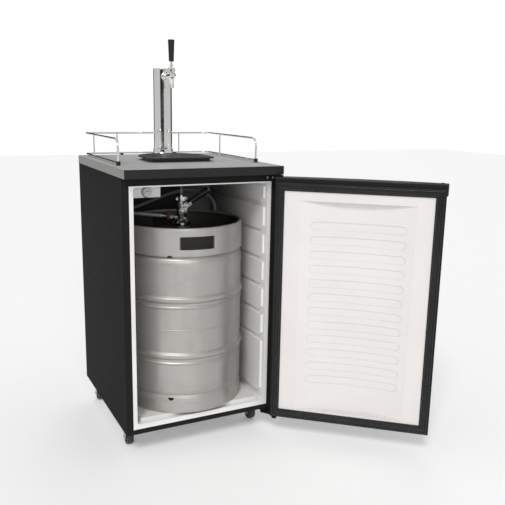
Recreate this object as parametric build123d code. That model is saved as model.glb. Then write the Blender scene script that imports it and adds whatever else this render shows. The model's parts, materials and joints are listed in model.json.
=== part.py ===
"""Single-tap kegerator: refrigerated cabinet on casters, hinged door standing open,
steel keg with its coupler inside, and a draft tower on the worktop.

Millimetres.  X runs to the right, Y to the back, Z up.  The origin is on the floor,
under the middle of the worktop.  The door faces -Y and is hinged on its right-hand side.
"""
from build123d import *
import os
from math import atan2, cos, degrees, pi, radians, sin, sqrt

os.makedirs("parts", exist_ok=True)

# ---------------------------------------------------------------- driving dimensions
WORKTOP_WIDTH = 505.0
WORKTOP_DEPTH = 562.0
WORKTOP_THICK = 26.0
WORKTOP_TOP = 893.0
FRONT_TRIM_THICK = 2.5

CABINET_WIDTH = 503.0
CABINET_BOTTOM = 76.0
CABINET_FRONT = -244.0
CABINET_BACK = 278.0
SHEET = 1.2
FRAME_SIDE = 21.5          # painted front frame beside, above and below the white lip
FRAME_TOP = 24.0
FRAME_BOTTOM = 16.0

CAVITY_HALF = 217.0        # inner liner
CAVITY_FLOOR = 108.0
CAVITY_CEILING = 839.0
CAVITY_BACK = 215.0
CAVITY_RADIUS = 9.0
LINER_WALL = 2.5
HUMP_FRONT = 148.0         # step over the compressor bay
HUMP_TOP = 330.0
BAY_FRONT = 181.5
BAY_TOP = 300.0
SHELF_PAD = 5.5            # moulded rails that stand in from the side walls
SHELF_PITCH = 89.5
SHELF_GROOVES = 6
GROOVE_HALF = 7.5
TOP_GROOVE_Z = 767.0

DOOR_REST_ANGLE = 139.5    # how far open the door stands
HINGE_X = 242.0
HINGE_Y = -279.5
DOOR_HINGE_SIDE = 252.0    # the door's own edges, given with the door closed
DOOR_FREE_SIDE = -256.0
DOOR_BOTTOM = 73.0
DOOR_TOP = 860.7
DOOR_INNER = -252.0
DOOR_EDGE_FRONT = -290.0
DOOR_BOW = 17.0            # how far the middle of the front stands ahead of its edges
DOOR_CAP = 3.0
GASKET_WIDTH = 25.0
GASKET_FACE = CABINET_FRONT - 0.4
SCOOP_DEPTH = 20.0         # hollow in the inner panel that clears the keg
SCOOP_HALF = 173.0
SCOOP_TOP = 792.0
PILL_COUNT = 12
PILL_PITCH = 45.5
PILL_TOP_Z = 727.9
PILL_HEIGHT = 25.5
PILL_HALF = 145.0

KEG_X = -3.0
KEG_Y = -63.0
KEG_HEIGHT = 594.0
KEG_HOOP_R = 202.0
KEG_BODY_R = 196.0
KEG_WALL = 2.0
KEG_SEAM = 273.5          # height of the weld round the middle, above the keg's foot
HAND_HOLE_HEADING = -96.0  # direction of the front hand hole, anticlockwise from +X
DRAIN_R = 9.0
BOARD_THICK = 10.0
BOARD_HALF = 202.5

TOWER_X = 30.0
TOWER_Y = 200.0
TOWER_R = 31.75
TOWER_TOP = 1192.0
SHANK_Z = 1166.0
FAUCET_REACH = 90.0        # from the column's axis to the spout's axis
HANDLE_TOP = 1282.0

RAIL_X = 228.0
RAIL_BACK = 272.0
RAIL_FRONT = -137.0
RAIL_TOP = 970.0
ROD_R = 3.0

CASTER_X = 218.0
CASTER_FRONT_Y = -166.0
CASTER_REAR_Y = 203.0
WHEEL_R = 25.0
CASTER_TRAIL = 20.0

# ---------------------------------------------------------------- derived dimensions
CABINET_HALF = CABINET_WIDTH / 2
CABINET_TOP = WORKTOP_TOP - WORKTOP_THICK
WORKTOP_FRONT = -WORKTOP_DEPTH / 2
LIP_HALF = CABINET_HALF - FRAME_SIDE
LIP_TOP = CABINET_TOP - FRAME_TOP
LIP_BOTTOM = CABINET_BOTTOM + FRAME_BOTTOM
KEG_BOTTOM = CAVITY_FLOOR + BOARD_THICK
KEG_TOP = KEG_BOTTOM + KEG_HEIGHT
NECK_TOP = KEG_TOP - 22.0
FAUCET_Y = TOWER_Y - FAUCET_REACH


# ---------------------------------------------------------------- shape helpers
def block(x, y, z):
    """A box from three (low, high) ranges."""
    size = [high - low for low, high in (x, y, z)]
    middle = [(high + low) / 2 for low, high in (x, y, z)]
    return Pos(*middle) * Box(*size)


def rod(start, end, radius, end_radius=None):
    """A round bar, or a cone when end_radius is given, between two points."""
    line = Vector(*end) - Vector(*start)
    place = Plane(origin=start, z_dir=line)
    base = (Align.CENTER, Align.CENTER, Align.MIN)
    if end_radius is None:
        return place * Cylinder(radius, line.length, align=base)
    return place * Cone(radius, end_radius, line.length, align=base)


def ring(start, end, radius, bore):
    """A round bar with a hole right through it."""
    line = Vector(*end) - Vector(*start)
    place = Plane(origin=start, z_dir=line)
    base = (Align.CENTER, Align.CENTER, Align.MIN)
    return place * (Cylinder(radius, line.length, align=base) - Cylinder(bore, line.length, align=base))


def turned(profile, x, y):
    """A solid of revolution about a vertical axis, from closed (radius, height) points."""
    outline = Polyline(*[(r, 0, z) for r, z in profile], close=True)
    return Pos(x, y, 0) * revolve(make_face(outline), Axis.Z)


def swept(path, radius, bore=0.0):
    """A round wire or hose that follows a path."""
    section = Plane(origin=path @ 0, z_dir=path % 0) * Circle(radius)
    if bore:
        section -= Plane(origin=path @ 0, z_dir=path % 0) * Circle(bore)
    return sweep(section, path=path)


def panel(x, z, y, radius):
    """A slab in the X-Z plane with rounded corners."""
    width, height = x[1] - x[0], z[1] - z[0]
    back = Plane(origin=((x[0] + x[1]) / 2, y[1], (z[0] + z[1]) / 2), x_dir=(1, 0, 0), z_dir=(0, -1, 0))
    return extrude(back * RectangleRounded(width, height, radius), y[1] - y[0])


def hexagon(start, end, across_flats):
    """A hexagonal nut blank between two points."""
    line = Vector(*end) - Vector(*start)
    outline = Plane(origin=start, z_dir=line) * RegularPolygon(across_flats / 2, 6, major_radius=False)
    return extrude(outline, line.length)


def pan_screw(seat, axis, length=8.0, radius=2.4, head=4.6, head_height=2.4):
    """A cross-slot pan-head screw.  Its head rests on seat and axis points out of the head."""
    out = Vector(*axis).normalized()
    origin = Vector(*seat)
    shank = rod(tuple(origin - out * length), tuple(origin), radius)
    top = rod(tuple(origin), tuple(origin + out * head_height), head, head * 0.7)
    slot = Plane(origin=tuple(origin + out * head_height), z_dir=out)
    cross = slot * (Box(5, 1, 1.6) + Box(1, 5, 1.6))
    return shank + top - cross


def save(node, *solids):
    """Write one node; several solids go in as one compound."""
    shape = solids[0] if len(solids) == 1 else Compound(children=list(solids))
    export_step(shape, f"parts/{node}.step")


# ---------------------------------------------------------------- cabinet
def beer_hole(z, radius=14.0):
    """The way up through the roof for the beer line, under the tower."""
    return rod((TOWER_X, TOWER_Y, z[0]), (TOWER_X, TOWER_Y, z[1]), radius)


GAS_INLET = (120.0, 600.0)     # where the gas line passes the back wall, X and Z


def gas_hole(y, radius=6.0):
    return rod((GAS_INLET[0], y[0], GAS_INLET[1]), (GAS_INLET[0], y[1], GAS_INLET[1]), radius)


def cabinet_shell():
    """Folded steel wrapper: two sides, the roof and the front frame."""
    outer = block((-CABINET_HALF, CABINET_HALF), (CABINET_FRONT, CABINET_BACK), (CABINET_BOTTOM, CABINET_TOP))
    inner_half = CABINET_HALF - SHEET
    inside = block((-inner_half, inner_half), (CABINET_FRONT + SHEET, CABINET_BACK + 1),
                   (CABINET_BOTTOM - 1, CABINET_TOP - SHEET))
    opening = block((-LIP_HALF, LIP_HALF), (CABINET_FRONT - 1, CABINET_FRONT + 2), (LIP_BOTTOM, LIP_TOP))
    return outer - inside - opening - beer_hole((CABINET_TOP - 5, CABINET_TOP + 5))


def rear_panel():
    """Flat steel back above the compressor bay."""
    inner_half = CABINET_HALF - SHEET
    sheet = block((-inner_half, inner_half), (CABINET_BACK - SHEET, CABINET_BACK), (BAY_TOP, CABINET_TOP - SHEET))
    return sheet - gas_hole((CABINET_BACK - 5, CABINET_BACK + 5))


def base_pan():
    """Bottom plate that steps up and back to make the roof and front of the compressor bay."""
    inner_half = CABINET_HALF - SHEET
    sides = (-inner_half, inner_half)
    floor = block(sides, (CABINET_FRONT + SHEET, CABINET_BACK), (CABINET_BOTTOM, CABINET_BOTTOM + 1.5))
    riser = block(sides, (BAY_FRONT - 1.5, BAY_FRONT), (CABINET_BOTTOM, BAY_TOP))
    shelf = block(sides, (BAY_FRONT - 1.5, CABINET_BACK - SHEET), (BAY_TOP - 1.5, BAY_TOP))
    return floor + riser + shelf


def liner_form(grow, front):
    """The liner's inside volume, or the volume it fills when grow is its wall."""
    half = CAVITY_HALF + grow
    hull = panel((-half, half), (CAVITY_FLOOR - grow, CAVITY_CEILING + grow), (front, CAVITY_BACK + grow),
                 CAVITY_RADIUS + grow)
    hump = block((-half - 1, half + 1), (HUMP_FRONT + grow, CAVITY_BACK + grow + 1),
                 (CAVITY_FLOOR - grow - 1, HUMP_TOP - grow))
    return hull - hump


def shelf_pads(side):
    """Raised panels above, between and below the shelf grooves of one side wall.

    The front lower corner of each is cut away, so that a shelf can be lifted into its groove.
    """
    wall = side * CAVITY_HALF
    face = side * (CAVITY_HALF - SHELF_PAD)
    front = CABINET_FRONT + 16
    centres = [TOP_GROOVE_Z - SHELF_PITCH * i for i in range(SHELF_GROOVES)]
    ceiling = THERMOSTAT_Z[0] - 6 if side < 0 else CAVITY_CEILING - 14
    tops = [ceiling] + [z - GROOVE_HALF for z in centres]
    bottoms = [z + GROOVE_HALF for z in centres] + [CAVITY_FLOOR + 24]
    pads = []
    for high, low in zip(tops, bottoms):
        back = (CAVITY_BACK if low > HUMP_TOP else HUMP_FRONT) - 14
        outline = Polyline((front, high), (back, high), (back, low), (front + 22, low), (front, low + 15), close=True)
        face_plane = Plane(origin=(min(wall, face), 0, 0), x_dir=(0, 1, 0), z_dir=(1, 0, 0))
        pad = extrude(face_plane * make_face(outline), SHELF_PAD)
        front_edges = pad.edges().filter_by(Axis.Z).group_by(Axis.Y)[0].sort_by(Axis.X)
        pads.append(fillet(front_edges[0 if side > 0 else -1], 4))
    return pads


def inner_liner():
    """White moulded tub with its front lip, shelf rails and the step over the compressor."""
    tub = liner_form(LINER_WALL, CABINET_FRONT)
    lip = block((-LIP_HALF + 0.1, LIP_HALF - 0.1), (CABINET_FRONT, CABINET_FRONT + 2.5),
                (LIP_BOTTOM + 0.1, LIP_TOP - 0.1))
    tub = tub + lip - liner_form(0, CABINET_FRONT - 1)
    for side in (-1, 1):
        for pad in shelf_pads(side):
            tub += pad
    tub -= beer_hole((CAVITY_CEILING - 5, CAVITY_CEILING + 5))
    return tub - gas_hole((CAVITY_BACK - 5, CAVITY_BACK + 5))


def foam_insulation():
    """Foam between the steel wrapper and the liner."""
    inner_half = CABINET_HALF - SHEET
    body = block((-inner_half, inner_half), (CABINET_FRONT + 2.5, CABINET_BACK - SHEET),
                 (CABINET_BOTTOM + 1.5, CABINET_TOP - SHEET))
    bay = block((-inner_half - 1, inner_half + 1), (BAY_FRONT - 1.5, CABINET_BACK + 1), (CABINET_BOTTOM, BAY_TOP))
    body = body - bay - liner_form(LINER_WALL, CABINET_FRONT - 1)
    body -= beer_hole((CAVITY_CEILING, CABINET_TOP))
    return body - gas_hole((CAVITY_BACK, CABINET_BACK))


def evaporator_plate():
    """Cold plate that stands off the liner's back wall on four feet."""
    plate = panel((-170, 95), (560, 800), (CAVITY_BACK - 7, CAVITY_BACK - 4), 18)
    for x in (-150, 75):
        for z in (580, 780):
            plate += rod((x, CAVITY_BACK - 5, z), (x, CAVITY_BACK, z), 4)
    return plate


THERMOSTAT_X = (-CAVITY_HALF, -128.0)
THERMOSTAT_Y = (-221.0, -150.0)
THERMOSTAT_Z = (805.0, CAVITY_CEILING)
DIAL_X = -168.0
DIAL_Z = 822.0
DIAL_R = 13.0


def thermostat_housing():
    """Box under the ceiling that holds the thermostat; the dial turns on its boss."""
    box = block(THERMOSTAT_X, THERMOSTAT_Y, THERMOSTAT_Z)
    box = fillet(box.edges().filter_by(Axis.X).sort_by(Axis.Z)[0], 5)
    box = fillet(box.edges().filter_by(Axis.Y).group_by(Axis.Z)[-1].sort_by(Axis.X)[0], CAVITY_RADIUS)
    front = THERMOSTAT_Y[0]
    box -= rod((DIAL_X, front - 1, DIAL_Z), (DIAL_X, front + 3, DIAL_Z), DIAL_R + 0.6)
    box += rod((DIAL_X, front + 4, DIAL_Z), (DIAL_X, front, DIAL_Z), 3.0)
    return box


def thermostat_dial():
    """Round knob with a finger bar across it, bored for the boss."""
    front = THERMOSTAT_Y[0]
    disc = rod((DIAL_X, front + 2.8, DIAL_Z), (DIAL_X, front - 5, DIAL_Z), DIAL_R)
    bar = block((DIAL_X - 10.5, DIAL_X + 10.5), (front - 10, front - 5), (DIAL_Z - 2.2, DIAL_Z + 2.2))
    return disc + bar - rod((DIAL_X, front + 3, DIAL_Z), (DIAL_X, front - 0.2, DIAL_Z), 3.05)


def worktop():
    """Laminated top with its front edge set back for the trim and a seam near the front corners."""
    half = WORKTOP_WIDTH / 2
    slab = block((-half, half), (WORKTOP_FRONT + FRONT_TRIM_THICK, -WORKTOP_FRONT), (CABINET_TOP, WORKTOP_TOP))
    slab = fillet(slab.edges().filter_by(Axis.Z).sort_by(Axis.Y)[-2:], 3)
    slab = chamfer(slab.faces().sort_by(Axis.Z)[-1].edges().filter_by(Axis.Y), 1.2)
    for side in (-1, 1):
        edge = side * half
        seam = block((edge - 0.6, edge + 0.6), (WORKTOP_FRONT + 28, WORKTOP_FRONT + 28.8), (CABINET_TOP, WORKTOP_TOP))
        slab -= seam
    return slab - beer_hole((CABINET_TOP, WORKTOP_TOP))


def worktop_trim():
    """Dark strip along the worktop's front edge, rounded at its top."""
    half = WORKTOP_WIDTH / 2
    strip = block((-half, half), (WORKTOP_FRONT, WORKTOP_FRONT + FRONT_TRIM_THICK), (CABINET_TOP, WORKTOP_TOP))
    return fillet(strip.edges().filter_by(Axis.X).group_by(Axis.Z)[-1].sort_by(Axis.Y)[0], 2.0)


# ---------------------------------------------------------------- guard rail
def rail_loop(z, drop):
    """One rod round three sides; drop bends its front ends down to the feet."""
    start = (-RAIL_X, RAIL_FRONT, z)
    corners = [start, (-RAIL_X, RAIL_BACK, z), (RAIL_X, RAIL_BACK, z), (RAIL_X, RAIL_FRONT, z)]
    bend = 26.0
    if drop:
        foot = WORKTOP_TOP + 2
        corners = [(-RAIL_X, RAIL_FRONT, foot)] + corners + [(RAIL_X, RAIL_FRONT, foot)]
    wire = FilletPolyline(*corners, radius=bend)
    return swept(wire, ROD_R)


def guard_rail():
    """Welded chrome rail: top rod, lower rod and six short posts."""
    low = WORKTOP_TOP + 7.0
    rail = rail_loop(RAIL_TOP, True) + rail_loop(low, False)
    posts = [(x, RAIL_BACK) for x in (-116.0, 116.0)] + [(side * RAIL_X, 151.0) for side in (-1, 1)]
    for x, y in posts:
        rail += rod((x, y, low), (x, y, RAIL_TOP), 2.2)
    return rail


def rail_feet():
    """Black cups under the rail: two at the front ends and two under the back rod."""
    feet = []
    for side in (-1, 1):
        cup = rod((side * RAIL_X, RAIL_FRONT, WORKTOP_TOP), (side * RAIL_X, RAIL_FRONT, WORKTOP_TOP + 12), 6.5)
        post = rod((side * RAIL_X, RAIL_FRONT, WORKTOP_TOP + 1), (side * RAIL_X, RAIL_FRONT, WORKTOP_TOP + 20), ROD_R)
        run = rod((side * RAIL_X, RAIL_FRONT - 1, WORKTOP_TOP + 7), (side * RAIL_X, RAIL_FRONT + 9, WORKTOP_TOP + 7),
                  ROD_R)
        feet.append(cup - post - run)
        pad = rod((side * 100, RAIL_BACK, WORKTOP_TOP), (side * 100, RAIL_BACK, WORKTOP_TOP + 7), 5.5)
        bed = rod((side * 100 - 8, RAIL_BACK, WORKTOP_TOP + 7), (side * 100 + 8, RAIL_BACK, WORKTOP_TOP + 7), ROD_R)
        feet.append(pad - bed)
    return feet


# ---------------------------------------------------------------- draft tower
FLANGE_R = 48.0
FLANGE_THICK = 5.0
SCREW_CIRCLE = 40.0
COLUMN_BORE = TOWER_R - 1.5
HOSE_TAIL_R = 3.4


def tower_flange():
    """Flared base ring that the column stands in, with four screw holes."""
    base = WORKTOP_TOP
    outer = TOWER_R + 0.05
    profile = [(outer, base), (FLANGE_R, base), (FLANGE_R, base + FLANGE_THICK), (38, base + FLANGE_THICK + 1),
               (34.5, base + 14), (34, base + 24), (outer, base + 24)]
    flange = turned(profile, TOWER_X, TOWER_Y)
    for x, y in screw_places():
        flange -= rod((x, y, base - 1), (x, y, base + 12), 2.6)
        flange -= rod((x, y, base + FLANGE_THICK), (x, y, base + 12), 5.2)
    return flange


def screw_places():
    return [(TOWER_X + SCREW_CIRCLE * cos(a), TOWER_Y + SCREW_CIRCLE * sin(a))
            for a in (radians(45 + 90 * i) for i in range(4))]


def tower_column():
    """Chrome tube with the shank's hole near the top of its front."""
    tube = ring((TOWER_X, TOWER_Y, WORKTOP_TOP), (TOWER_X, TOWER_Y, TOWER_TOP - 3), TOWER_R, COLUMN_BORE)
    return tube - rod((TOWER_X, TOWER_Y, SHANK_Z), (TOWER_X, TOWER_Y - 60, SHANK_Z), 11.2)


def tower_cap():
    """Pressed lid with a short skirt inside the column."""
    disc = rod((TOWER_X, TOWER_Y, TOWER_TOP - 3), (TOWER_X, TOWER_Y, TOWER_TOP), TOWER_R)
    disc = fillet(disc.edges().group_by(Axis.Z)[-1], 2.0)
    skirt = ring((TOWER_X, TOWER_Y, TOWER_TOP - 9), (TOWER_X, TOWER_Y, TOWER_TOP - 3), COLUMN_BORE - 0.1,
                 COLUMN_BORE - 1.6)
    return disc + skirt


def faucet_shank():
    """Tube through the column, its collar outside, and a hose tail that turns down inside."""
    front = TOWER_Y - TOWER_R
    tube = rod((TOWER_X, TOWER_Y + 9, SHANK_Z), (TOWER_X, front - 12, SHANK_Z), 11.0)
    collar = rod((TOWER_X, front - 8, SHANK_Z), (TOWER_X, front + 4, SHANK_Z), 15.5)
    collar -= rod((TOWER_X, TOWER_Y, SHANK_Z - 30), (TOWER_X, TOWER_Y, SHANK_Z + 30), TOWER_R + 0.02)
    tail = rod((TOWER_X, TOWER_Y, SHANK_Z), (TOWER_X, TOWER_Y, SHANK_Z - 36), HOSE_TAIL_R)
    bore = rod((TOWER_X, TOWER_Y, SHANK_Z), (TOWER_X, front - 13, SHANK_Z), 2.0)
    bore += rod((TOWER_X, TOWER_Y, SHANK_Z), (TOWER_X, TOWER_Y, SHANK_Z - 37), 2.0)
    return tube + collar + tail - bore


def coupling_nut():
    """Slotted ring nut that holds the faucet on the shank."""
    front = TOWER_Y - TOWER_R - 8
    nut = ring((TOWER_X, front, SHANK_Z), (TOWER_X, front - 14, SHANK_Z), 14.0, 11.05)
    for i in range(6):
        angle = radians(60 * i)
        place = Pos(TOWER_X + 14 * cos(angle), front - 7, SHANK_Z + 14 * sin(angle))
        nut -= place * Rot(0, -degrees(angle), 0) * Box(2.4, 15, 4)
    return nut


LEVER_PIVOT_Z = SHANK_Z + 17.0
SPOUT_BOTTOM = 1126.0
SPOUT_BORE = 5.6
SPOUT_SOCKET = 24.0          # how far up a filler tube goes before it meets the shoulder
PIN_R = 1.6                  # stub pins on the lever's ball


def faucet_body():
    """Chromed body: a barrel along the shank's axis, a bonnet for the lever and a spout."""
    barrel_back = TOWER_Y - TOWER_R - 12.5
    barrel = rod((TOWER_X, barrel_back, SHANK_Z), (TOWER_X, FAUCET_Y - 13, SHANK_Z), 10.9)
    nose = rod((TOWER_X, FAUCET_Y - 13, SHANK_Z), (TOWER_X, FAUCET_Y - 19, SHANK_Z), 10.9, 6.5)
    spout = turned([(0, SPOUT_BOTTOM), (7.6, SPOUT_BOTTOM), (7.2, SPOUT_BOTTOM + 12), (8.6, SPOUT_BOTTOM + 26),
                    (10.5, SHANK_Z - 6), (0, SHANK_Z - 2)], TOWER_X, FAUCET_Y)
    bonnet = turned([(0, SHANK_Z), (10.5, SHANK_Z), (10.5, SHANK_Z + 12), (12, SHANK_Z + 13), (12, SHANK_Z + 21),
                     (9.5, SHANK_Z + 26), (0, SHANK_Z + 26)], TOWER_X, FAUCET_Y)
    body = barrel + nose + spout + bonnet
    chamber = rod((TOWER_X, barrel_back + 1, SHANK_Z), (TOWER_X, FAUCET_Y - 12, SHANK_Z), 6.5)
    outlet = rod((TOWER_X, FAUCET_Y, SHANK_Z), (TOWER_X, FAUCET_Y, SPOUT_BOTTOM - 1), SPOUT_BORE - 0.8)
    outlet += rod((TOWER_X, FAUCET_Y, SPOUT_BOTTOM + SPOUT_SOCKET), (TOWER_X, FAUCET_Y, SPOUT_BOTTOM - 1), SPOUT_BORE)
    socket = Pos(TOWER_X, FAUCET_Y, LEVER_PIVOT_Z) * Sphere(8.0)
    throat = rod((TOWER_X, FAUCET_Y, LEVER_PIVOT_Z), (TOWER_X, FAUCET_Y, SHANK_Z + 27), 5.0, 8.2)
    drop = block((TOWER_X - 3.2, TOWER_X + 3.2), (FAUCET_Y - 4, FAUCET_Y + 10), (SHANK_Z, LEVER_PIVOT_Z - 3))
    forward = rod((TOWER_X, FAUCET_Y, LEVER_PIVOT_Z), (TOWER_X, FAUCET_Y - 12, LEVER_PIVOT_Z + 16), 4.6)
    pin_holes = rod((TOWER_X - 10, FAUCET_Y, LEVER_PIVOT_Z), (TOWER_X + 10, FAUCET_Y, LEVER_PIVOT_Z), PIN_R + 0.05)
    return body - chamber - outlet - socket - throat - drop - forward - pin_holes


def tap_lever():
    """Lever with a pinned ball in the bonnet, a toe that moves the plunger and a stud for the handle."""
    ball = Pos(TOWER_X, FAUCET_Y, LEVER_PIVOT_Z) * Sphere(7.95)
    toe = rod((TOWER_X, FAUCET_Y, LEVER_PIVOT_Z), (TOWER_X, FAUCET_Y, LEVER_PIVOT_Z - 14), 2.4)
    stem = rod((TOWER_X, FAUCET_Y, LEVER_PIVOT_Z), (TOWER_X, FAUCET_Y, LEVER_PIVOT_Z + 34), 3.0)
    skirt = rod((TOWER_X, FAUCET_Y, SHANK_Z + 31.5), (TOWER_X, FAUCET_Y, SHANK_Z + 38), 6.8, 3.5)
    pins = rod((TOWER_X - 9.5, FAUCET_Y, LEVER_PIVOT_Z), (TOWER_X + 9.5, FAUCET_Y, LEVER_PIVOT_Z), PIN_R)
    return ball + toe + stem + skirt + pins


def tap_handle():
    """Black tapered handle screwed on the lever's stud, with shallow flutes."""
    bottom = LEVER_PIVOT_Z + 29.0
    handle = rod((TOWER_X, FAUCET_Y, bottom), (TOWER_X, FAUCET_Y, HANDLE_TOP), 8.2, 10.8)
    handle = fillet(handle.edges().group_by(Axis.Z)[-1], 1.2)
    return handle - rod((TOWER_X, FAUCET_Y, bottom - 1), (TOWER_X, FAUCET_Y, LEVER_PIVOT_Z + 34), 3.02)


def faucet_plunger():
    """Valve shaft that slides in the barrel; the lever's toe works in its cross hole."""
    back = FAUCET_Y + 26
    shaft = rod((TOWER_X, FAUCET_Y - 6.5, SHANK_Z), (TOWER_X, back, SHANK_Z), 3.6)
    seat = rod((TOWER_X, back, SHANK_Z), (TOWER_X, back + 5, SHANK_Z), 6.45)
    guide = rod((TOWER_X, FAUCET_Y - 8, SHANK_Z), (TOWER_X, FAUCET_Y - 6, SHANK_Z), 6.45)
    eye = block((TOWER_X - 2.6, TOWER_X + 2.6), (FAUCET_Y - 4.5, FAUCET_Y + 9.5), (SHANK_Z - 2, SHANK_Z + 6))
    return shaft + seat + guide - eye


# ---------------------------------------------------------------- drip tray
TRAY_X = (-110.0, 114.0)
TRAY_Y = (-80.0, 122.0)
TRAY_HEIGHT = 15.0
TRAY_FRONT_CORNER = 28.0
TRAY_BACK_CORNER = 90.0
GRILLE_SLOTS = 15
GRILLE_PITCH = 10.4


def tray_slab(inset, z):
    """The tray's outline moved in by inset: tight corners in front, wide ones at the back."""
    slab = block((TRAY_X[0] + inset, TRAY_X[1] - inset), (TRAY_Y[0] + inset, TRAY_Y[1] - inset), z)
    slab = fillet(slab.edges().filter_by(Axis.Z).group_by(Axis.Y)[0], TRAY_FRONT_CORNER - inset)
    return fillet(slab.edges().filter_by(Axis.Z).group_by(Axis.Y)[-1], TRAY_BACK_CORNER - inset)


def tray_half(y):
    """Half the tray's width at this y, where the back corners round it off."""
    into_corner = max(0.0, y - TRAY_Y[1] + TRAY_BACK_CORNER)
    half = (TRAY_X[1] - TRAY_X[0]) / 2
    return half - TRAY_BACK_CORNER + sqrt(TRAY_BACK_CORNER ** 2 - into_corner ** 2)


def drip_tray():
    """Moulded dish with a wide thin rim that overhangs its narrower foot."""
    foot = tray_slab(12.5, (WORKTOP_TOP, WORKTOP_TOP + 11))
    rim = tray_slab(0, (WORKTOP_TOP + 10, WORKTOP_TOP + TRAY_HEIGHT))
    rim = fillet(rim.edges().group_by(Axis.Z)[-1], 1.8)
    well = tray_slab(16, (WORKTOP_TOP + 2, WORKTOP_TOP + 13))
    recess = tray_slab(10, (WORKTOP_TOP + 12, WORKTOP_TOP + TRAY_HEIGHT + 1))
    return foot + rim - well - recess


def drip_grille():
    """Slotted insert that sits in the tray's recess."""
    plate = tray_slab(10.6, (WORKTOP_TOP + 12, WORKTOP_TOP + 14.2))
    x_middle = (TRAY_X[0] + TRAY_X[1]) / 2
    slots = []
    for i in range(GRILLE_SLOTS):
        y = TRAY_Y[0] + 28 + i * GRILLE_PITCH
        inner, outer = 6.0, tray_half(y) - 20
        slot = extrude(SlotOverall(outer - inner, 4.6), 8, both=True)
        for side in (-1, 1):
            slots.append(Pos(x_middle + side * (inner + outer) / 2, y, WORKTOP_TOP + 13) * slot)
    return plate - slots


# ---------------------------------------------------------------- keg and coupler
def keg_profile(offset):
    """Outline of the pressed body from its lower to its upper dome, moved in by offset."""
    r, hoop, bead, seam = (radius - offset for radius in (KEG_BODY_R, KEG_HOOP_R, KEG_BODY_R + 2.5, KEG_BODY_R + 0.9))
    z = KEG_BOTTOM
    points = [(0, z + 26 + offset), (120, z + 30 + offset), (r - 20, z + 44 + offset), (r - 6, z + 56),
              (r - 1.5, z + 63), (r, z + 72)]
    for centre in (190.0, 371.0):
        bead_z = centre - 25
        points += [(r, z + bead_z - 5), (bead, z + bead_z - 2), (bead, z + bead_z + 2), (r, z + bead_z + 5),
                   (r, z + centre - 12), (hoop - 1.5, z + centre - 7), (hoop, z + centre - 4),
                   (hoop, z + centre + 4), (hoop - 1.5, z + centre + 7), (r, z + centre + 12)]
        if centre < 200:
            points += [(r, z + KEG_SEAM - 2), (seam, z + KEG_SEAM - 1), (seam, z + KEG_SEAM + 1), (r, z + KEG_SEAM + 2)]
    points += [(r, z + 478), (r - 1, z + 487), (r - 3.5, z + 495), (r - 8, z + 502), (r - 20, z + 510 - offset),
               (110, z + 552 - offset), (0, z + 560 - offset)]
    return points


def keg_shell():
    """Welded steel vessel: pressed body, two rolled chimes with hand holes, and the neck."""
    body = turned(keg_profile(0), KEG_X, KEG_Y) - turned(keg_profile(KEG_WALL), KEG_X, KEG_Y)
    top, bottom = KEG_TOP, KEG_BOTTOM
    r = KEG_BODY_R + 1.5
    weld = KEG_BODY_R - 7.4
    upper = turned([(weld, bottom + 500.3), (weld + 1.8, bottom + 497), (r - 2, bottom + 505), (r, bottom + 510),
                    (r, top - 8), (r - 1, top - 2), (r - 5, top), (r - 9, top - 2), (r - 9, top - 7),
                    (r - 6, top - 8), (r - 2.5, top - 10), (r - 2.5, bottom + 513)], KEG_X, KEG_Y)
    weld = KEG_BODY_R - 5.8
    lower = turned([(weld, bottom + 57.8), (r - 2.5, bottom + 42), (r - 2.5, bottom + 10), (r - 6, bottom + 8),
                    (r - 9, bottom + 6), (r - 9, bottom + 2), (r - 5, bottom), (r - 1, bottom + 2),
                    (r, bottom + 8), (r, bottom + 40), (r - 1.7, bottom + 50), (weld + 1.8, bottom + 60.8)],
                   KEG_X, KEG_Y)
    neck_hole = rod((KEG_X, KEG_Y, KEG_TOP - 60), (KEG_X, KEG_Y, KEG_TOP), 27.0)
    neck = turned([(27, NECK_TOP - 20), (34, NECK_TOP - 20), (33, NECK_TOP), (27, NECK_TOP)], KEG_X, KEG_Y)
    keg = body + upper + lower - neck_hole + neck
    for heading in (HAND_HOLE_HEADING, HAND_HOLE_HEADING + 180):
        keg -= radial_hole(heading, KEG_TOP - 46, SlotOverall(134, 40))
        keg -= radial_hole(heading - 25, KEG_BOTTOM + 502, half_moon(1))
        keg -= radial_hole(heading - 25, KEG_BOTTOM + 52, half_moon(-1))
    return keg


def half_moon(side):
    """Drain hole against a seam: the upper (1) or lower (-1) half of a circle."""
    return Circle(DRAIN_R) & Pos(0, side * DRAIN_R) * Rectangle(2 * DRAIN_R, 2 * DRAIN_R)


def radial_hole(heading, z, outline):
    """A cutter through one chime, pointing out at this compass angle from +X."""
    angle = radians(heading)
    face = Plane(origin=(KEG_X, KEG_Y, z), x_dir=(-sin(angle), cos(angle), 0), z_dir=(cos(angle), sin(angle), 0))
    return face * Pos(0, 0, KEG_BODY_R - 7.8) * extrude(outline, 30)


def keg_valve():
    """Spear: the valve head in the neck and the dip tube down to the bottom."""
    head = turned([(10.6, NECK_TOP - 16), (26.9, NECK_TOP - 16), (26.9, NECK_TOP - 3), (21, NECK_TOP - 3),
                   (21, NECK_TOP - 8), (12.5, NECK_TOP - 8), (12.5, NECK_TOP - 12), (10.6, NECK_TOP - 12)],
                  KEG_X, KEG_Y)
    cage = ring((KEG_X, KEG_Y, NECK_TOP - 60), (KEG_X, KEG_Y, NECK_TOP - 15), 16.0, 13.0)
    floor = ring((KEG_X, KEG_Y, NECK_TOP - 63), (KEG_X, KEG_Y, NECK_TOP - 60), 16.0, 5.0)
    dip = ring((KEG_X, KEG_Y, KEG_BOTTOM + 40), (KEG_X, KEG_Y, NECK_TOP - 62), 8.0, 6.0)
    return head + cage + floor + dip


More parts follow.
